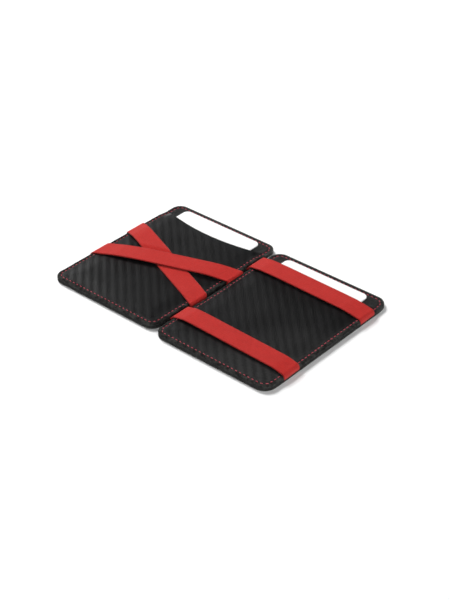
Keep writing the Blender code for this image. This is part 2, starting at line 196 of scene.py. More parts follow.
# Studio
FLOOR_RINGS = ((1.0, 0), (2.5, 0), (4.0, 0), (4.6, 0.12), (5.0, 0.4), (5.25, 1.15))  # (radius, height)
FLOOR_SEGMENTS = 64
FLOOR_GAP = 0.05 * MM  # between the floor and the wallet
FLOOR_GLOW = (0.45, 1.3)  # the floor's own light grows to its full strength between these distances
WORLD_STRENGTH = 0.04
SOFT_BOXES = (  # name, place, size, power, and whether it shines in gloss
    ("key", (-1.0, 0.3, 1.03), (0.6, 0.6), 27.5, False),
    ("fill", (0.85, -0.55, 1.05), (1.0, 1.0), 7.3, False),
    ("fill_gloss", (0.85, -0.55, 1.05), (1.0, 1.0), 3.5, True),
    ("side", (1.2, -0.25, 0.3), (0.5, 0.4), 4.8, False),
    ("gloss", (-1.0, 0.28, 0.56), (0.45, 0.5), 2.55, True),
)

# Camera
CAMERA_AZIMUTH = math.radians(40.8)
CAMERA_ELEVATION = math.radians(34.44)
CAMERA_DISTANCE = 0.758
CAMERA_TARGET = Vector((7.6 * MM, -3.3 * MM, 0))
CAMERA_LENS = 87.2


# ---- meshes


def new_piece(name, points, faces, uv=None, sharp=50):
    """A mesh object, sharp over that angle in degrees. uv holds two measures for each point."""
    mesh = bpy.data.meshes.new(name)
    corners_of_faces = [tuple(map(int, face)) for face in faces]
    mesh.from_pydata([tuple(map(float, point)) for point in points], [], corners_of_faces)
    if uv is not None:
        layer = mesh.uv_layers.new(name="measures")
        corners = np.empty(len(mesh.loops), np.int32)
        mesh.loops.foreach_get("vertex_index", corners)
        layer.data.foreach_set("uv", np.asarray(uv, np.float32)[corners].ravel())
    shape = bmesh.new()
    shape.from_mesh(mesh)
    bmesh.ops.remove_doubles(shape, verts=shape.verts, dist=0.001 * MM)
    bmesh.ops.recalc_face_normals(shape, faces=shape.faces)
    shape.to_mesh(mesh)
    shape.free()
    mesh.shade_smooth()
    mesh.set_sharp_from_angle(angle=math.radians(sharp))
    piece = bpy.data.objects.new(name, mesh)
    bpy.context.scene.collection.objects.link(piece)
    return piece


def finish_piece(piece, material, slot, body, *nodes):
    """Gives a piece its material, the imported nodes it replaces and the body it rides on, if it rides."""
    piece.data.materials.append(material)
    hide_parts(*nodes)
    if body:
        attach(piece, body)


def smoothstep(share):
    """From 0 at 0 smoothly up to 1 at 1."""
    share = np.clip(share, 0, 1)
    return share * share * (3 - 2 * share)


def ease(value, start, end):
    """From 0 at start smoothly up to 1 at end."""
    return smoothstep((value - start) / (end - start))


def mouth_y(x):
    """The arc of the thumb cut."""
    return MOUTH_MIDDLE_Y + MOUTH_RADIUS - np.sqrt(MOUTH_RADIUS**2 - np.square(x))


def half_lengths(depth, open_top):
    """Lengths of the bottom, corner, side, corner and top stretches of half an edge line."""
    flat = HALF_X - CORNER_RADIUS
    arc = math.pi / 2 * (CORNER_RADIUS - depth)
    bottom = -HALF_Y + CORNER_RADIUS
    if open_top:
        return [flat, arc, float(mouth_y(HALF_X - depth)) - bottom, 0, 0]
    return [flat, arc, -2 * bottom, arc, flat]


def walk(depth, distance, open_top=False):
    """Points of the right half of the edge line at this depth, by distance from its bottom middle."""
    lengths = half_lengths(depth, open_top)
    starts = np.concatenate([[0], np.cumsum(lengths)])
    radius = CORNER_RADIUS - depth
    flat = HALF_X - CORNER_RADIUS
    bottom = -HALF_Y + CORNER_RADIUS
    local = [distance - start for start in starts[:5]]
    turn = [local[1] / max(radius, 1e-9), local[3] / max(radius, 1e-9)]
    conditions = [distance <= start for start in starts[1:5]]
    x = np.select(
        conditions,
        [local[0], flat + radius * np.sin(turn[0]), HALF_X - depth + 0 * distance,
         flat + radius * np.cos(turn[1])],
        flat - local[4],
    )
    y = np.select(
        conditions,
        [-HALF_Y + depth + 0 * distance, bottom - radius * np.cos(turn[0]), bottom + local[2],
         -bottom + radius * np.sin(turn[1])],
        HALF_Y - depth,
    )
    return np.stack([x, y], axis=1)


def edge_ring(depth, half_columns, rows, open_top):
    """The whole edge line at this depth. At the seam's inner side its points are those of the grid."""
    lengths = half_lengths(depth, open_top)
    inner = half_lengths(CORNER_RADIUS, open_top)
    stops = [np.linspace(0, inner[0], half_columns + 1), inner[0] + np.linspace(0, inner[2], rows + 1)[1:]]
    if not open_top:
        stops.append(inner[0] + inner[2] + np.linspace(0, inner[4], half_columns + 1)[1:])
    grid_share = np.concatenate(stops) / sum(inner)
    even_share = np.linspace(0, 1, len(grid_share))
    mix = depth / CORNER_RADIUS
    right = walk(depth, ((1 - mix) * even_share + mix * grid_share) * sum(lengths), open_top)
    left = right[::-1] * (-1, 1)
    if open_top:
        return np.concatenate([left, right[1:]])
    return np.concatenate([right, left[1:-1]])


def strips(lower, upper, closed):
    """Quads between two rows of vertex numbers."""
    ahead = np.roll(upper, -1), np.roll(lower, -1)
    quads = np.stack([lower, ahead[1], ahead[0], upper], axis=1)
    return [tuple(quad) for quad in (quads if closed else quads[:-1])]


def tube(rings):
    """Faces of a tube through closed rings of point numbers, with both its ends."""
    faces = []
    for ring, next_ring in zip(rings, rings[1:]):
        faces += strips(ring, next_ring, True)
    return faces + [tuple(rings[0]), tuple(rings[-1])]


def run_lengths(line):
    """How far along a line its points lie."""
    return np.concatenate([[0], np.cumsum(np.linalg.norm(np.diff(line, axis=0), axis=1))])


def outer_trim(side, y):
    """How far outside its true line the outer edge was cut at this y of the panel."""
    drift = 1 - TRIM_DRIFT + TRIM_DRIFT * y / HALF_Y
    return OUTER_TRIM[side] * drift * (1 - TRIM_CORNER_LOSS * ease(np.abs(y), *TRIM_CORNERS))


def hinge_bow(side, y):
    """How far towards +X the hinge edge bows at this y of the panel, pulled by the bands."""
    share = np.clip((y - HINGE_BOW_Y) / HINGE_BOW_REACH, -1, 1)
    return HINGE_BOW[side] * (0.5 + 0.5 * np.cos(math.pi * share))


def trimmed(points, side):
    """Points of a panel layer with its outer edge as it was really cut, and its hinge edge bowed."""
    outward = 1 if side == "right" else -1
    x, y = points[:, 0], points[:, 1]
    shift = outward * outer_trim(side, y) * ease(outward * x, EDGE_PULL_START, HALF_X)
    shift += hinge_bow(side, y) * ease(-outward * x, EDGE_PULL_START, HALF_X)
    return points + np.column_stack([shift, np.zeros((len(points), 2))])


class Shell:
    """Collects rows of points, each with its depth inside the cut edge, and the faces between them."""

    def __init__(self):
        self.points = []
        self.measures = []
        self.faces = []
        self.count = 0

    def row(self, xy, z, depth=0):
        """Adds a row of points at one height or a height for each, and gives their numbers."""
        xy = np.asarray(xy, float)
        self.points.append(np.column_stack([xy, np.broadcast_to(z, len(xy))]))
        self.measures.append(np.full((len(xy), 2), (depth, 0)))
        self.count += len(xy)
        return np.arange(self.count - len(xy), self.count)

    def shaped_row(self, xy, height, depth):
        """Adds a row at the heights that height(x, y, depth) gives."""
        return self.row(xy, height(xy[:, 0], xy[:, 1], np.full(len(xy), depth)), depth)

    def join(self, rows, closed):
        """Adds the faces between each row and the next."""
        for row, next_row in zip(rows, rows[1:]):
            self.faces += strips(row, next_row, closed)

    def build(self, name, place, side=None):
        """The mesh object at its place. With a side, its edges stray like that panel's."""
        points = np.concatenate(self.points)
        if side:
            points = trimmed(points, side)
        return new_piece(name, points + place, self.faces, np.concatenate(self.measures))


def panel_shell(step, height, under, open_top=False, cap_grid=True):
    """A panel layer: height(x, y, depth) shapes the face on show, and under, as (depth, z) pairs, the other.

    open_top leaves the top to the curved mouth, and cap_grid fills the middle with a grid of points.
    """
    shell = Shell()
    closed = not open_top
    half_columns = round((HALF_X - SEAM_WIDTH) / step)
    rows = round(2 * (HALF_Y - SEAM_WIDTH) / step)
    rings = []
    for depth in SEAM_DEPTHS:
        rings.append(shell.shaped_row(edge_ring(depth, half_columns, rows, open_top), height, depth))
    shell.join(rings, closed)
    columns = np.linspace(-(HALF_X - SEAM_WIDTH), HALF_X - SEAM_WIDTH, 2 * half_columns + 1)
    bottom = -(HALF_Y - SEAM_WIDTH)
    top = mouth_y(columns) if open_top else np.full(len(columns), HALF_Y - SEAM_WIDTH)
    if cap_grid:
        middle = []
        for share in np.linspace(0, 1, rows + 1):
            xy = np.column_stack([columns, bottom + (top - bottom) * share])
            middle.append(shell.shaped_row(xy, height, SEAM_WIDTH))
        shell.join(middle, False)
    else:
        shell.faces.append(tuple(rings[-1]))
    under_rings = [shell.row(edge_ring(depth, half_columns, rows, open_top), z, depth) for depth, z in under]
    shell.join(under_rings, closed)
    shell.faces += strips(rings[0], under_rings[0], closed)
    if closed:
        shell.faces.append(tuple(under_rings[-1]))
        return shell
    mouth_row = shell.row(np.column_stack([columns, top]), under[-1][1])
    shell.faces.append(tuple(under_rings[-1]) + tuple(mouth_row[::-1][1:-1]))
    add_lip(shell, mouth_edge(rings, middle[-1]), mouth_edge(under_rings, mouth_row))
    return shell


def mouth_edge(rings, middle):
    """Numbers of the points along the mouth, through the open ends of the rings and the middle's last row."""
    return [ring[0] for ring in rings] + list(middle[1:-1]) + [ring[-1] for ring in reversed(rings)]


def add_lip(shell, upper_edge, lower_edge):
    """The bulging cut edge of the mouth, between the edges of the two faces."""
    points = np.concatenate(shell.points)
    upper, lower = points[upper_edge], points[lower_edge]
    out = np.column_stack([-upper[:, 0], np.sqrt(MOUTH_RADIUS**2 - upper[:, 0] ** 2)]) / MOUTH_RADIUS
    rows = [np.array(upper_edge)]
    for outwards, drop in LIP:
        rows.append(shell.row(upper[:, :2] + out * outwards, upper[:, 2] - drop))
    outwards, drop = LIP[-1]
    rows.append(shell.row(lower[:, :2] + out * outwards, lower[:, 2] + drop))
    rows.append(np.array(lower_edge))
    shell.join(rows, False)
    for end in (0, -1):
        shell.faces.append(tuple(row[end] for row in rows))


def twill(x, y):
    """Relief of a two-over-two twill, from 0 to 1: tows along X and along Y pass over two and under two."""
    u, v = x / TOW, y / TOW
    column, row = np.floor(u), np.floor(v)
    warp_wave = 0.5 + 0.5 * np.cos(math.pi / 2 * (v + column - 1))
    weft_wave = 0.5 + 0.5 * np.cos(math.pi / 2 * (u + row - 3))
    warp = TOW_CROWN * (1 - (2 * (u - column) - 1) ** 2) + (1 - TOW_CROWN) * warp_wave
    weft = TOW_CROWN * (1 - (2 * (v - row) - 1) ** 2) + (1 - TOW_CROWN) * weft_wave
    ridge = 0.5 + 0.5 * np.cos(math.pi / 2 * (u + v - 1.5))
    return RIDGE_SHARE * ridge + (1 - RIDGE_SHARE) * np.maximum(warp, weft)


def undulation(x, y):
    """A slow unevenness of the leather, about -1 to 1."""
    return 0.5 * np.sin(x / (9 * MM) + 1.3) * np.cos(y / (13 * MM)) + 0.5 * np.sin((x + 2 * y) / (21 * MM))


def stitch_starts():
    """Distances of the stitches along the closed stitch line."""
    length = 2 * sum(half_lengths(STITCH_INSET, False))
    count = round(length / STITCH_PITCH)
    return length * np.arange(count) / count


def stitch_point(distance):
    """Points of the closed stitch line by distance from its bottom middle, anticlockwise."""
    length = sum(half_lengths(STITCH_INSET, False))
    distance = np.mod(distance, 2 * length)
    points = walk(STITCH_INSET, np.where(distance <= length, distance, 2 * length - distance))
    points[:, 0] *= np.where(distance <= length, 1, -1)
    return points


def stitch_pull(x, y, depth):
    """How far the seam's surface is drawn down: a groove, and a dimple at each needle hole."""
    starts = stitch_starts()
    holes = np.concatenate([stitch_point(starts), stitch_point(starts + STITCH_LENGTH)])
    pull = GROOVE_DEPTH * np.exp(-(((depth - STITCH_INSET) / GROOVE_WIDTH) ** 2))
    near = np.flatnonzero(np.abs(depth - STITCH_INSET) < 3 * HOLE_WIDTH)
    if len(near):
        gaps = np.hypot(x[near, None] - holes[None, :, 0], y[near, None] - holes[None, :, 1]).min(axis=1)
        pull[near] += HOLE_DEPTH * np.exp(-((gaps / HOLE_WIDTH) ** 2))
    return pull


def rounded_edge(depth, width, drop):
    """How far a rounded edge lies below its crown."""
    reach = np.clip(1 - depth / width, 0, 1)
    return drop * (1 - np.sqrt(1 - reach**2))


def true_depth(x, y):
    """Distance to the nearest straight side, for the slopes that go on past the seam."""
    return np.minimum(HALF_X - np.abs(x), HALF_Y - np.abs(y))


def emboss_share(depth):
    """How deep the twill is pressed: full inside the stitching, faint on the rim."""
    share = RIM_EMBOSS + (1 - RIM_EMBOSS) * smoothstep((depth - EMBOSS_START) / EMBOSS_RAMP)
    return share * smoothstep(depth / EMBOSS_EDGE)


def emboss_fade(x, y):
    """The pocket front's pattern is pressed unevenly: clear on its left and fainter to the right."""
    drift = 0.12 * np.sin(y / (8 * MM) + 0.6) + 0.1 * np.sin((x - y) / (5 * MM))
    share = 1 - ease(x, *EMBOSS_FADE_X)
    return np.clip(FADED_EMBOSS + (1 - FADED_EMBOSS) * share + drift * (0.3 + 0.7 * share), 0, 1)


def ruffle(x, y):
    """A short, irregular waviness of a worn leather edge, about -1 to 1."""
    along_x = np.sin(x / (0.9 * MM) + 1.7 * np.sin(y / (2.3 * MM)))
    along_y = np.sin(y / (0.8 * MM) + 2.1 * np.sin(x / (1.9 * MM)))
    return 0.5 * (along_x + along_y)


def mouth_taper(x, y, depth):
    """How far the pocket front's seam thins out near the two ends of the mouth."""
    near = smoothstep(1 - (mouth_y(x) - y) / MOUTH_TAPER_LENGTH)
    return MOUTH_TAPER * near * (1 - ease(depth, *MOUTH_TAPER_DEPTHS))


def front_height(x, y, depth, press):
    """The pocket front: a rounded rim, the stitched groove, a soft rise and a slight dome over the card."""
    inner = np.maximum(depth, true_depth(x, y)) - STITCH_INSET - GROOVE_WIDTH
    rise = smoothstep(inner / FRONT_RISE_WIDTH)
    dome = np.clip(1 - (x / HALF_X) ** 2, 0, 1) * np.clip(1 - (y / HALF_Y) ** 4, 0, 1)
    full = FRONT_MIDDLE[1] - FRONT_SEAM_TOP - TWILL_RELIEF
    z = FRONT_SEAM_TOP + full * ((1 - DOME_SHARE) * rise + DOME_SHARE * dome)
    z -= rounded_edge(depth, FRONT_EDGE_WIDTH, FRONT_EDGE_DROP)
    z -= stitch_pull(x, y, depth)
    z -= mouth_taper(x, y, depth)
    z += UNEVENNESS * undulation(x, y) * rise
    z += EDGE_RUFFLE * ruffle(x, y) * (1 - smoothstep(depth / EDGE_RUFFLE_WIDTH))
    return z + TWILL_RELIEF * press * emboss_share(depth) * emboss_fade(x, y) * twill(x, y)


def cover_height(x, y, depth):
    """The outer cover's face, turned down to the table: a rounded edge, the groove and the full pattern."""
    z = rounded_edge(depth, COVER_EDGE, COVER_EDGE) + stitch_pull(x, y, depth)
    return z + TWILL_RELIEF * (1 - emboss_share(depth) * twill(x, y))


def backing_height(x, y, depth):
    """The backing: a stitched seam, lower where the pocket front lies on it, round a raised middle."""
    rise = ease(depth, STITCH_INSET + GROOVE_WIDTH, SEAM_WIDTH)
    step = mouth_y(HALF_X) + MOUTH_STEP_START
    seam_top = BACKING_SEAM_TOP + MOUTH_RISE * smoothstep((y - step) / MOUTH_STEP)
    z = seam_top + (BACKING_MIDDLE[1] - seam_top) * rise
    z -= rounded_edge(depth, BACKING_EDGE, BACKING_EDGE)
    return z - stitch_pull(x, y, depth) * (1 - rise)


# ---- materials


def node(tree, kind, inputs=None, **settings):
    """A shader node with its settings, and its inputs given as values or as other nodes' sockets."""
    made = tree.nodes.new("ShaderNode" + kind)
    for name, value in settings.items():
        setattr(made, name, value)
    for name, value in (inputs or {}).items():
        if isinstance(value, bpy.types.NodeSocket):
            tree.links.new(value, made.inputs[name])
        else:
            made.inputs[name].default_value = value
    return made


def places(tree):
    """Places on the object, in metres."""
    return node(tree, "TexCoord").outputs["Object"]


def measures(tree):
    """The two measures in an object's map, as sockets X and Y."""
    both = node(tree, "UVMap", uv_map="measures").outputs["UV"]
    return node(tree, "SeparateXYZ", {"Vector": both}).outputs


def maths(tree, operation, *values):
    """The result of an operation on values or sockets."""
    return node(tree, "Math", dict(enumerate(values)), operation=operation).outputs[0]


def weighted_sum(tree, *parts):
    """The sum of values, each times its share, from (value, share) pairs."""
    total = None
    for value, share in parts:
        part = maths(tree, "MULTIPLY", value, share)
        total = maths(tree, "ADD", total, part) if total else part
    return total


def mix_value(tree, factor, low, high):
    """From low, where factor is 0, to high, where it is 1."""
    made = node(tree, "MapRange", {"Value": factor, "To Min": low, "To Max": high})
    return made.outputs["Result"]


def share_between(tree, value, start, end):
    """From 0 at start to 1 at end."""
    made = node(tree, "MapRange", {"Value": value, "From Min": start, "From Max": end})
    return made.outputs["Result"]


def ramp(tree, factor, *stops):
    """A colour ramp through (position, colour) stops."""
    made = node(tree, "ValToRGB", {"Fac": factor})
    elements = made.color_ramp.elements
    while len(elements) < len(stops):
        elements.new(0.5)
    for element, (position, color) in zip(elements, stops):
        element.position = position
        element.color = (*color, 1)
    return made.outputs["Color"]


def noise(tree, vector, scale, detail, roughness=0.5):
    """Soft noise from 0 to 1."""
    settings = {"Vector": vector, "Scale": scale, "Detail": detail, "Roughness": roughness}
    return node(tree, "TexNoise", settings).outputs["Fac"]


def scaled(tree, vector, *factors):
    """A vector stretched by a factor for each axis."""
    made = node(tree, "VectorMath", {0: vector, 1: factors}, operation="MULTIPLY")
    return made.outputs["Vector"]


def bump(tree, height, distance, strength, normal=None):
    """A normal with this relief, laid over another one if there is one."""
    made = node(tree, "Bump", {"Height": height, "Distance": distance, "Strength": strength})
    if normal:
        tree.links.new(normal, made.inputs["Normal"])
    return made.outputs["Normal"]


def new_material(name, **values):
    """A material with plain values on its shader, as (material, node tree, shader)."""
    material = bpy.data.materials.new(name)
    material.use_nodes = True
    shader = material.node_tree.nodes["Principled BSDF"]
    for key, value in values.items():
        shader.inputs[key.replace("_", " ")].default_value = value
    return material, material.node_tree, shader


def connect(tree, shader, **sockets):
    """Links sockets to the shader's inputs of these names."""
    for key, socket in sockets.items():
        tree.links.new(socket, shader.inputs[key.replace("_", " ")])


def from_edge(tree, near, far):
    """1 up to near from the leather's cut edge, and 0 from far on, by the depth kept in the map."""
    limits = {"Value": measures(tree)["X"], "From Min": near, "From Max": far, "To Min": 1.0, "To Max": 0.0}
    return node(tree, "MapRange", limits, interpolation_type="SMOOTHSTEP").outputs["Result"]


def mix_color(tree, factor, first, second):
    """The first colour where factor is 0, and the second where it is 1."""
    made = node(tree, "MixRGB", {"Fac": factor, "Color1": first, "Color2": second})
    return made.outputs["Color"]


def carbon_leather():
    """Black leather pressed with a carbon twill, whose tows shine differently, and frayed at its rim."""
    material, tree, shader = new_material("carbon_leather", Metallic=0.0, Specular_IOR_Level=0.5)
    place = places(tree)
    split = node(tree, "SeparateXYZ", {"Vector": place})
    column = maths(tree, "FLOOR", maths(tree, "DIVIDE", split.outputs["X"], TOW))
    row = maths(tree, "FLOOR", maths(tree, "DIVIDE", split.outputs["Y"], TOW))
    phase = maths(tree, "FLOORED_MODULO", maths(tree, "ADD", column, row), 4.0)
    warp_on_top = maths(tree, "LESS_THAN", phase, 1.5)
    along_y = noise(tree, scaled(tree, place, 1, 0.12, 1), 5200, 2)
    along_x = noise(tree, scaled(tree, place, 0.12, 1, 1), 5200, 2)
    fibres = node(tree, "Mix", {"Factor": warp_on_top, "A": along_x, "B": along_y}, data_type="FLOAT")
    pores = noise(tree, place, 3400, 3, 0.6)
    wear = noise(tree, place, 55, 4, 0.55)
    tone = weighted_sum(tree, (wear, 0.7), (warp_on_top, 0.25))
    mottle = noise(tree, place, 750, 3, 0.6)
    tone = maths(tree, "ADD", tone, mix_value(tree, mottle, -0.4, 0.4))
    color = ramp(tree, tone, (0.2, (0.0035, 0.0035, 0.0037)), (0.8, (0.009, 0.009, 0.0093)))
    # the black turns lighter grey towards the right panel's low corner, by x - y
    slant = maths(tree, "SUBTRACT", split.outputs["X"], split.outputs["Y"])
    grey_corner_color = ramp(tree, tone, (0.2, (0.013, 0.013, 0.013)), (0.8, (0.032, 0.032, 0.032)))
    color = mix_color(tree, share_between(tree, slant, GREY_CORNER_START, GREY_CORNER_END), color, grey_corner_color)
    shine = maths(tree, "ADD", mix_value(tree, wear, 0.3, 0.42), maths(tree, "MULTIPLY", warp_on_top, 0.05))
    edge = from_edge(tree, *FRAYED_DEPTHS)
    frayed = noise(tree, place, 520, 5, 0.7)
    frayed_color = ramp(tree, frayed, (0.4, (0.003, 0.003, 0.003)), (0.64, (0.036, 0.036, 0.033)))
    cut_color = ramp(tree, frayed, (0.4, (0.014, 0.014, 0.013)), (0.64, (0.075, 0.075, 0.068)))
    lowest = share_between(tree, split.outputs["Z"], *CUT_HEIGHTS)
    frayed_color = mix_color(tree, lowest, frayed_color, cut_color)
    relief = bump(tree, fibres.outputs["Result"], 0.02 * MM, 0.6)
    relief = bump(tree, pores, 0.02 * MM, 0.7, relief)
    relief = bump(tree, mottle, 0.05 * MM, 0.4, relief)
    relief = bump(tree, maths(tree, "MULTIPLY", frayed, edge), 0.16 * MM, 0.8, relief)
    shine = maths(tree, "ADD", shine, maths(tree, "MULTIPLY", edge, 0.5))
    color = mix_color(tree, edge, color, frayed_color)
    connect(tree, shader, Base_Color=color, Roughness=shine, Normal=relief)
    return material


def smooth_leather():
    """Black leather with a fine pebble grain and pores, rubbed grey along its edge at the mouth."""
    material, tree, shader = new_material("smooth_leather", Metallic=0.0, Specular_IOR_Level=0.5)
    place = places(tree)
    pebbles = node(tree, "TexVoronoi", {"Vector": place, "Scale": 1500.0}, feature="DISTANCE_TO_EDGE")
    creases = maths(tree, "MINIMUM", maths(tree, "MULTIPLY", pebbles.outputs["Distance"], 5.0), 1.0)
    pores = noise(tree, place, 4200, 3, 0.6)
    wear = noise(tree, place, 70, 4, 0.6)
    mottle = noise(tree, place, 650, 4, 0.65)
    tone = weighted_sum(tree, (mottle, 0.7), (creases, 0.3))
    color = ramp(tree, tone, (0.45, (0.004, 0.004, 0.004)), (0.8, (0.034, 0.034, 0.033)))
    edge = from_edge(tree, *RUBBED_DEPTHS)
    rubbed = ramp(tree, mottle, (0.35, (0.03, 0.03, 0.029)), (0.65, (0.085, 0.085, 0.08)))
    y = node(tree, "SeparateXYZ", {"Vector": place}).outputs["Y"]
    mouth = share_between(tree, y, *RUBBED_Y)
    color = mix_color(tree, maths(tree, "MULTIPLY", edge, mouth), color, rubbed)
    relief = bump(tree, creases, 0.03 * MM, 0.6)
    relief = bump(tree, pores, 0.02 * MM, 0.5, relief)
    relief = bump(tree, mottle, 0.1 * MM, 0.5, relief)
    shine = maths(tree, "ADD", mix_value(tree, wear, 0.42, 0.58), maths(tree, "MULTIPLY", edge, 0.4))
    connect(tree, shader, Base_Color=color, Roughness=shine, Normal=relief)
    return material


def sewing_thread():
    """Waxed pinkish-red thread of twisted strands, along its own map."""
    values = {"Metallic": 0.0, "Specular_IOR_Level": 0.25, "Sheen_Weight": 0.15}
    material, tree, shader = new_material("red_thread", **values)
    along, around = measures(tree)["X"], measures(tree)["Y"]
    slant = maths(tree, "ADD", maths(tree, "DIVIDE", along, THREAD_TWIST), around)
    strands = maths(tree, "ABSOLUTE", maths(tree, "SUBTRACT", maths(tree, "FRACT", slant), 0.5))
    place = places(tree)
    fuzz = noise(tree, place, 6000, 2)
    worn = noise(tree, place, 260, 3)
    tone = weighted_sum(tree, (worn, 0.6), (strands, 0.8))
    color = ramp(tree, tone, (0.2, (0.27, 0.024, 0.038)), (0.8, (0.56, 0.085, 0.12)))
    relief = bump(tree, strands, 0.08 * MM, 0.8)
    relief = bump(tree, fuzz, 0.02 * MM, 0.5, relief)
    connect(tree, shader, Base_Color=color, Roughness=mix_value(tree, fuzz, 0.5, 0.7), Normal=relief)
    return material


def woven_elastic():
    """Red elastic tape: ribs along it, picks across them, and painted shade darkening each edge."""
    material, tree, shader = new_material("red_elastic", Metallic=0.0, Sheen_Weight=0.12, Sheen_Roughness=0.5)
    shader.inputs["Sheen Tint"].default_value = (1.0, 0.55, 0.5, 1)
    shader.inputs["Specular IOR Level"].default_value = 0.25
    along, across = measures(tree)["X"], measures(tree)["Y"]
    pick = maths(tree, "DIVIDE", along, BAND_PICK)
    rib = maths(tree, "DIVIDE", across, BAND_WIDTH / (2 * BAND_RIBS))
    offset = maths(tree, "MULTIPLY", maths(tree, "FLOORED_MODULO", maths(tree, "FLOOR", rib), 2.0), 0.5)
    pick_arm = maths(tree, "SUBTRACT", maths(tree, "FRACT", maths(tree, "ADD", pick, offset)), 0.5)
    rib_arm = maths(tree, "SUBTRACT", maths(tree, "FRACT", rib), 0.5)
    loop = weighted_sum(tree, (pick_arm, pick_arm), (rib_arm, rib_arm))
    knots = maths(tree, "SUBTRACT", 1.0, maths(tree, "MULTIPLY", loop, 2.0))
    place = places(tree)
    fuzz = noise(tree, place, 5000, 3, 0.6)
    worn = noise(tree, place, 240, 5, 0.65)
    grain = noise(tree, place, 1000, 2, 0.6)
    edge = maths(tree, "ABSOLUTE", maths(tree, "DIVIDE", across, BAND_WIDTH / 2))
    # painted shade: the tone darkens over the outer share of each edge, for the shade of the rounded edges
    # and the shadow beside them
    edge_share = share_between(tree, edge, 0.86, 1.0)
    tone = weighted_sum(tree, (worn, 0.3), (knots, 0.35), (grain, 0.4), (edge_share, -0.35))
    color = ramp(tree, tone, (0.1, (0.225, 0.0095, 0.008)), (0.85, (0.475, 0.022, 0.0185)))
    relief = bump(tree, knots, 0.05 * MM, 0.8)
    relief = bump(tree, fuzz, 0.02 * MM, 0.6, relief)
    connect(tree, shader, Base_Color=color, Roughness=mix_value(tree, fuzz, 0.62, 0.8), Normal=relief)
    return material


def card_plastic():
    """White laminated card: a faint orange-peel gloss and the lightest toning."""
    material, tree, shader = new_material("white_card", Metallic=0.0, Coat_Weight=0.25, Coat_Roughness=0.2)
    place = places(tree)
    peel = noise(tree, place, 900, 2)
    toning = noise(tree, place, 40, 3)
    color = ramp(tree, toning, (0.2, (0.84, 0.84, 0.845)), (0.8, (0.9, 0.9, 0.9)))
    relief = bump(tree, peel, 0.01 * MM, 0.4)
    connect(tree, shader, Base_Color=color, Roughness=mix_value(tree, peel, 0.32, 0.42), Normal=relief)
    return material


def shielding_film():
    """Thin metal foil with fine creases."""
    material, tree, shader = new_material("shielding_film", Metallic=1.0)
    crinkle = node(tree, "TexVoronoi", {"Vector": places(tree), "Scale": 240.0}).outputs["Distance"]
    color = ramp(tree, crinkle, (0.0, (0.55, 0.55, 0.57)), (1.0, (0.7, 0.7, 0.72)))
    relief = bump(tree, crinkle, 0.05 * MM, 0.5)
    connect(tree, shader, Base_Color=color, Roughness=mix_value(tree, crinkle, 0.25, 0.4), Normal=relief)
    return material


def grey_board():
    """Pressed grey pulp."""
    material, tree, shader = new_material("grey_board", Metallic=0.0)
    pulp = noise(tree, places(tree), 1300, 5, 0.7)
    color = ramp(tree, pulp, (0.3, (0.2, 0.18, 0.16)), (0.7, (0.36, 0.34, 0.3)))
    relief = bump(tree, pulp, 0.04 * MM, 0.6)
    connect(tree, shader, Base_Color=color, Roughness=mix_value(tree, pulp, 0.8, 0.95), Normal=relief)
    return material


# ---- pieces


def make_front(side, centre, material):
    """The embossed pocket front with its curved mouth."""
    rise = ease(np.array(SEAM_DEPTHS), FRONT_HOLLOW, SEAM_WIDTH)
    under = list(zip(SEAM_DEPTHS, FRONT_LOW + (FRONT_MIDDLE[0] - FRONT_LOW) * rise))
    height = partial(front_height, press=PRESS[side])
    shell = panel_shell(FRONT_STEP, height, under, open_top=True)
    piece = shell.build(f"{side}_front", (*centre, 0), side)
    finish_piece(piece, material, "carbon_leather", f"{side}_panel", f"{side}_pocket_front")


def make_cover(side, centre, material):
    """The embossed outer cover, seen from below."""
    under = [(0, COVER_TOP), (COVER_INNER, COVER_TOP)]
    shell = panel_shell(COVER_STEP, cover_height, under)
    piece = shell.build(f"{side}_cover", (*centre, 0), side)
    finish_piece(piece, material, "carbon_leather", f"{side}_panel", f"{side}_outer_cover")


def make_backing(side, centre, material):
    """The smooth leather behind the card."""
    start, end = BACKING_HOLLOW
    under = [(0, BACKING_LOW), (start, BACKING_LOW), (end, BACKING_MIDDLE[0])]
    shell = panel_shell(BACKING_STEP, backing_height, under, cap_grid=False)
    piece = shell.build(f"{side}_backing", (*centre, 0), side)
    finish_piece(piece, material, "smooth_leather", f"{side}_panel", f"{side}_backing_leather")


def front_seat(x, y):
    """Height of the groove's floor under the front stitches."""
    share = smoothstep((y - mouth_y(x) - SEAT_STEP_START) / MOUTH_STEP)
    high = FRONT_SEAM_TOP - GROOVE_DEPTH - mouth_taper(x, y, STITCH_INSET)
    low = BACKING_SEAM_TOP + MOUTH_RISE - GROOVE_DEPTH
    return high + (low - high) * share


def back_seat(x, y):
    """Height of the groove's floor over the back stitches."""
    return np.full(len(x), GROOVE_DEPTH + TWILL_RELIEF)


def stitch_points(start, seat, direction):
    """Cross-sections of one stitch, as (points, uv). direction is 1 for one seen from above, or else -1."""
    shares = np.linspace(0, 1, STITCH_RINGS)
    line = stitch_point(start + shares * STITCH_LENGTH)
    ahead = stitch_point(start + shares * STITCH_LENGTH + LOOKAHEAD) - line
    ahead /= np.linalg.norm(ahead, axis=1)[:, None]
    across = np.column_stack([ahead[:, 1], -ahead[:, 0]])
    line = line + across * (STITCH_SLANT * (shares - 0.5))[:, None]
    arch = np.abs(2 * shares - 1) ** 4
    z = seat(line[:, 0], line[:, 1]) + direction * (STITCH_SEAT * THREAD_HALF_HEIGHT - STITCH_DIVE * arch)
    girth = 1 - STITCH_THINNING * arch
    points, uv = [], []
    for index, share in enumerate(shares):
        for turn in np.linspace(0, 2 * math.pi, THREAD_SIDES, endpoint=False):
            out = across[index] * math.cos(turn) * THREAD_HALF_WIDTH * girth[index]
            up = direction * math.sin(turn) * THREAD_HALF_HEIGHT * girth[index]
            points.append((*(line[index] + out), z[index] + up))
            uv.append((share * STITCH_LENGTH, turn / (2 * math.pi)))
    return points, uv


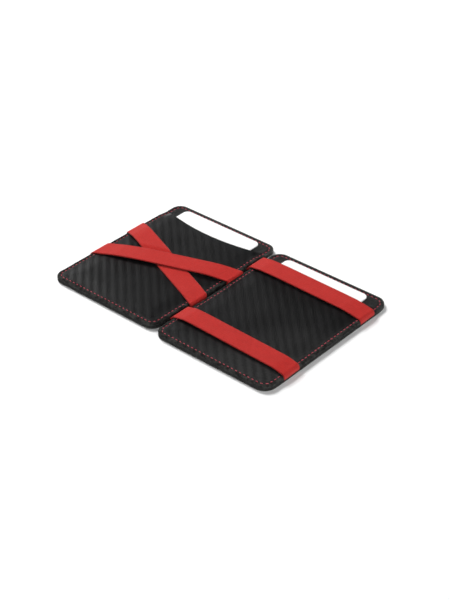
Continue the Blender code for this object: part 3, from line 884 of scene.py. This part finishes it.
def make_stitching(side, centre, row, seat, direction, material):
    """A whole row of stitches: row is front or back, and seat(x, y) the height they lie at."""
    points, uv, faces = [], [], []
    for start in stitch_starts():
        first = len(points)
        ring_points, ring_uv = stitch_points(start, seat, direction)
        points += ring_points
        uv += ring_uv
        faces += tube(np.arange(first, len(points)).reshape(-1, THREAD_SIDES))
    points = trimmed(np.array(points), side) + (*centre, 0)
    piece = new_piece(f"{side}_{row}_stitches", points, faces, uv)
    finish_piece(piece, material, "red_thread", f"{side}_panel", f"{side}_{row}_stitching")


def make_card(side, material):
    """A card with true rounded corners and softened edges."""
    low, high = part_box(f"{side}_card")
    half_x, half_y = (high.x - low.x) / 2, (high.y - low.y) / 2
    centre = ((low.x + high.x) / 2, (low.y + high.y) / 2)
    soft = CARD_SOFTENING
    lower_edge = [(3 * soft, low.z), (soft, low.z), (0, low.z + soft)]
    upper_edge = [(0, high.z - soft), (soft, high.z), (3 * soft, high.z)]
    shell = Shell()
    rows = []
    for inset, z in lower_edge + upper_edge:
        radius = CARD_CORNER - inset
        xy = []
        for quarter in range(4):
            for turn in np.linspace(0, math.pi / 2, CARD_CORNER_POINTS):
                angle = turn + quarter * math.pi / 2
                corner_x = (half_x - CARD_CORNER) * (1 if quarter in (0, 3) else -1)
                corner_y = (half_y - CARD_CORNER) * (1 if quarter < 2 else -1)
                xy.append((corner_x + radius * math.cos(angle), corner_y + radius * math.sin(angle)))
        rows.append(shell.row(xy, z))
    shell.faces += tube(rows)
    piece = shell.build(f"{side}_pocket_card", np.array((*centre, 0)) + CARD_SETTLE)
    finish_piece(piece, material, "white_card", f"{side}_card", f"{side}_card")


def rounded_path(corners):
    """Points of a polyline whose corners (x, z, radius, segments) are arcs of that radius."""
    path = [Vector(corners[0][:2])]
    for before, corner, after in zip(corners, corners[1:], corners[2:]):
        here = Vector(corner[:2])
        radius, segments = corner[2:]
        back = (Vector(before[:2]) - here).normalized()
        ahead = (Vector(after[:2]) - here).normalized()
        half_angle = back.angle(ahead) / 2
        reach = radius / math.tan(half_angle)
        middle = here + (back + ahead).normalized() * radius / math.sin(half_angle)
        start = here + back * reach - middle
        turn = start.angle_signed(here + ahead * reach - middle)
        for step in range(segments + 1):
            angle = -turn * step / segments
            path.append(middle + Vector((
                start.x * math.cos(angle) - start.y * math.sin(angle),
                start.x * math.sin(angle) + start.y * math.cos(angle),
            )))
    path.append(Vector(corners[-1][:2]))
    return path


def base_path(outer, overhang, outer_bend, hinge_bend):
    """The centre line in X and Z of a band lying flat on the left panel, from tuck to tuck.

    overhang is (out, sag), outer_bend (drop, radius, inset) and hinge_bend (drop, radius, reach).
    """
    out, sag = overhang
    outer_drop, outer_radius, outer_inset = outer_bend
    hinge_drop, hinge_radius, hinge_reach = hinge_bend
    points = rounded_path([
        (outer + BAND_TAIL, BAND_TAIL_Z),
        (outer + OUTER_TUCK[0], BAND_TAIL_Z, OUTER_TUCK[1], 5),
        (outer - out, BAND_TAIL_Z - sag, SAG_RADIUS, 8),
        (outer - out, BAND_LIE_Z - outer_drop, outer_radius, 14),
        (outer + outer_inset, BAND_LIE_Z, BAND_RUN_RADIUS, 10),
        (-HINGE_EDGE - BAND_RUN_INSET, BAND_LIE_Z, BAND_RUN_RADIUS, 10),
        (-HINGE_EDGE + hinge_reach, BAND_LIE_Z - hinge_drop, hinge_radius, 12),
        (HINGE_EDGE - HINGE_TUCK[0], BAND_TAIL_Z, HINGE_TUCK[1], 8),
        (HINGE_EDGE + BAND_TAIL, BAND_TAIL_Z),
    ])
    line = np.array(points)
    run = run_lengths(line)
    stops = np.linspace(0, run[-1], round(run[-1] / BAND_STEP) + 1)
    fine = run[(np.diff(run, append=run[-1]) < BAND_STEP)]
    stops = np.unique(np.round(np.concatenate([stops, fine]), 6))
    return np.column_stack([np.interp(stops, run, line[:, 0]), np.interp(stops, run, line[:, 1])])


def arch(x, height, outer_ramp, hinge_ramp):
    """How far a slack band stands off the leather: it rises over each ramp from the panel's two edges."""
    from_hinge = -x - HINGE_EDGE
    from_outer = 2 * HALF_X - from_hinge
    hinge_share = np.sin(math.pi / 2 * np.clip((from_hinge + HINGE_REACH) / (hinge_ramp + HINGE_REACH), 0, 1))
    return height * hinge_share * smoothstep(from_outer / outer_ramp)


def cross_line(end):
    """Y of a crossed band at the left panel's outer edge and at its tail in the right panel."""
    return LEFT_CENTRE[1] + CROSS_ENDS_Y[end], RIGHT_CENTRE[1] + CROSS_ENDS_Y[1 - end]


def straight_line(end):
    """Y of a straight band at the right panel's outer edge and at its tail in the left panel."""
    return RIGHT_CENTRE[1] + STRAIGHT_OUTER_Y[end], LEFT_CENTRE[1] + STRAIGHT_HINGE_Y[end]


def band_section():
    """The band's section, all the way round, as (shares across, heights): ribbed faces and soft edges."""
    across = np.linspace(-1, 1, BAND_ACROSS)
    edge_share = np.clip((np.abs(across) - 1 + BAND_SELVEDGE) / BAND_SELVEDGE, 0, 1)
    round_share = np.sqrt(1 - edge_share**2)
    ribs = 0.5 + 0.5 * np.cos(across * math.pi * BAND_RIBS)
    full = BAND_THICKNESS / 2 - BAND_RIB_RELIEF * (1 - ribs)
    top = full * (BAND_SELVEDGE_THICKNESS + (1 - BAND_SELVEDGE_THICKNESS) * round_share)
    return np.concatenate([across, across[::-1]]), np.concatenate([top, -top[::-1]])


def crossing_lift(x, y, over):
    """How far the under band rises on the far side of the crossed band whose line is over."""
    slope = (over[1] - over[0]) / (HINGE_EDGE - OUTER_X)
    distance = (y - over[0] - slope * (x - OUTER_X)) / math.sqrt(1 + slope**2)
    ends = smoothstep((x - OUTER_X) / CROSSING_END_RAMP) * smoothstep((-x - HINGE_EDGE) / CROSSING_END_RAMP)
    return CROSSING_LIFT * smoothstep((distance - BAND_WIDTH / 2 - CROSSING_GAP) / CROSSING_RAMP) * ends


def make_band(name, side, line, overhang, outer_bend, hinge_bend, rise, over, material):
    """One elastic band in one piece, from the seam at this panel's outer edge to the other panel's seam.

    The band's line is (y at the outer edge, y at its other end), and over is that of a band lying on it.
    """
    mirror = side == "right"
    centre = RIGHT_CENTRE if mirror else LEFT_CENTRE
    outer = OUTER_X - outer_trim(side, line[0] - centre[1])
    path = base_path(outer, overhang, outer_bend, hinge_bend)
    path[:, 1] += arch(path[:, 0], *rise)
    tangent = np.gradient(path, axis=0)
    tangent /= np.linalg.norm(tangent, axis=1)[:, None]
    normal = np.column_stack([-tangent[:, 1], tangent[:, 0]])
    slope = (line[1] - line[0]) / (HINGE_EDGE - OUTER_X)
    stretch = math.sqrt(1 + slope**2)
    along = run_lengths(path)
    share, height = band_section()
    across = share * BAND_WIDTH / 2 * stretch
    points, uv, rings = [], [], []
    for index, (x, z) in enumerate(path):
        first = len(points)
        y = line[0] + slope * (x - OUTER_X) + across
        xs = x + normal[index, 0] * height
        zs = z + normal[index, 1] * height
        if over:
            zs = zs + crossing_lift(xs, y, over)
        points += list(zip(-xs if mirror else xs, y, zs))
        uv += list(zip((along[index] + across * slope / stretch) * stretch, across / stretch))
        rings.append(np.arange(first, len(points)))
    piece = new_piece(name + "_elastic", points, tube(rings), uv, sharp=75)
    finish_piece(piece, material, "red_elastic", None, name, name + "_tail")
    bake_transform(piece)


def centre_of(node_name):
    """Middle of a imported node's box in X and Y."""
    low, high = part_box(node_name)
    return (low.x + high.x) / 2, (low.y + high.y) / 2


# ---- studio


def make_camera():
    """The photo's view, fitted to the wallet's outline."""
    camera = bpy.data.objects.new("camera", bpy.data.cameras.new("camera"))
    bpy.context.scene.collection.objects.link(camera)
    camera.data.lens = CAMERA_LENS
    camera.data.sensor_width = 36
    back = Vector((
        math.sin(CAMERA_AZIMUTH) * math.cos(CAMERA_ELEVATION),
        -math.cos(CAMERA_AZIMUTH) * math.cos(CAMERA_ELEVATION),
        math.sin(CAMERA_ELEVATION),
    ))
    camera.location = CAMERA_TARGET + back * CAMERA_DISTANCE
    camera.rotation_euler = back.to_track_quat("Z", "Y").to_euler()
    bpy.context.scene.camera = camera


def soft_box(name, place, size, power, glossy):
    """A rectangular light aimed at the wallet. It shows in glossy leather only if glossy is true."""
    light = bpy.data.objects.new(name, bpy.data.lights.new(name, "AREA"))
    bpy.context.scene.collection.objects.link(light)
    light.data.shape = "RECTANGLE"
    light.data.size, light.data.size_y = size
    light.data.energy = power
    light.visible_glossy = glossy
    light.location = place
    light.rotation_euler = Vector(place).to_track_quat("Z", "Y").to_euler()


def make_floor():
    """A round floor of white paper that turns up far from the wallet, and glows there."""
    shell = Shell()
    rings = []
    turns = np.linspace(0, 2 * math.pi, FLOOR_SEGMENTS, endpoint=False)
    for radius, height in FLOOR_RINGS:
        xy = radius * np.column_stack([np.cos(turns), np.sin(turns)])
        rings.append(shell.row(xy, height - FLOOR_GAP))
    shell.faces.append(tuple(rings[0]))
    for inner, outer in zip(rings, rings[1:]):
        shell.faces += strips(outer, inner, True)
    floor = shell.build("floor", (0, 0, 0))
    material, tree, shader = new_material("floor_paper", Roughness=0.9)
    shader.inputs["Base Color"].default_value = (0.9, 0.9, 0.9, 1)
    shader.inputs["Emission Color"].default_value = (1, 1, 1, 1)
    distance = node(tree, "VectorMath", {0: places(tree)}, operation="LENGTH").outputs["Value"]
    connect(tree, shader, Emission_Strength=share_between(tree, distance, *FLOOR_GLOW))
    floor.data.materials.append(material)


def make_world():
    """A dim white surrounding, and plain colours."""
    world = bpy.data.worlds.new("studio")
    bpy.context.scene.world = world
    world.use_nodes = True
    background = world.node_tree.nodes["Background"]
    background.inputs["Color"].default_value = (1, 1, 1, 1)
    background.inputs["Strength"].default_value = WORLD_STRENGTH
    bpy.context.scene.view_settings.view_transform = "Standard"


# ---- build

LEFT_CENTRE = centre_of("left_outer_cover")
RIGHT_CENTRE = centre_of("right_outer_cover")

carbon = carbon_leather()
smooth = smooth_leather()
thread = sewing_thread()
elastic = woven_elastic()
card = card_plastic()
film = shielding_film()
board = grey_board()

for side, centre in (("left", LEFT_CENTRE), ("right", RIGHT_CENTRE)):
    make_front(side, centre, carbon)
    make_cover(side, centre, carbon)
    make_backing(side, centre, smooth)
    make_stitching(side, centre, "front", front_seat, 1, thread)
    make_stitching(side, centre, "back", back_seat, -1, thread)
    make_card(side, card)
    for inner, material in (("shielding_liner", film), ("core_board", board)):
        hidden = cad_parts[f"{side}_{inner}"]
        hidden.data.materials.clear()
        hidden.data.materials.append(material)

# Each band: its panel, line and overhang, then in millimetres its bend at the outer edge (drop, radius,
# inset) and at the hinge (drop, radius, reach) and its arch (height, outer ramp, hinge ramp), and last the
# line of a band lying on it
BANDS = (
    ("cross_band_over", "left", cross_line(0), CROSS_OVERHANG,
     (1.0, 2.2, 12), (0.3, 0.7, 2.9), (1.2, 28, 15), None),
    ("cross_band_under", "left", cross_line(1), CROSS_OVERHANG,
     (0.9, 2.2, 6.5), (0.5, 0.8, 1.8), (0, 10, 10), cross_line(0)),
    ("straight_band_bottom", "right", straight_line(0), STRAIGHT_OVERHANG,
     (0.3, 1.7, 6.5), (1.3, 1.6, 0.6), (0.75, 8, 14), None),
    ("straight_band_top", "right", straight_line(1), STRAIGHT_OVERHANG,
     (0.5, 1.8, 6.5), (0.7, 1.4, 0.6), (0.9, 13, 22), None),
)
for name, side, line, overhang, *shape, over in BANDS:
    sizes = [[size * MM for size in group] for group in shape]
    make_band(name, side, line, overhang, *sizes, over, elastic)

make_camera()
make_floor()
make_world()
for box_settings in SOFT_BOXES:
    soft_box(*box_settings)
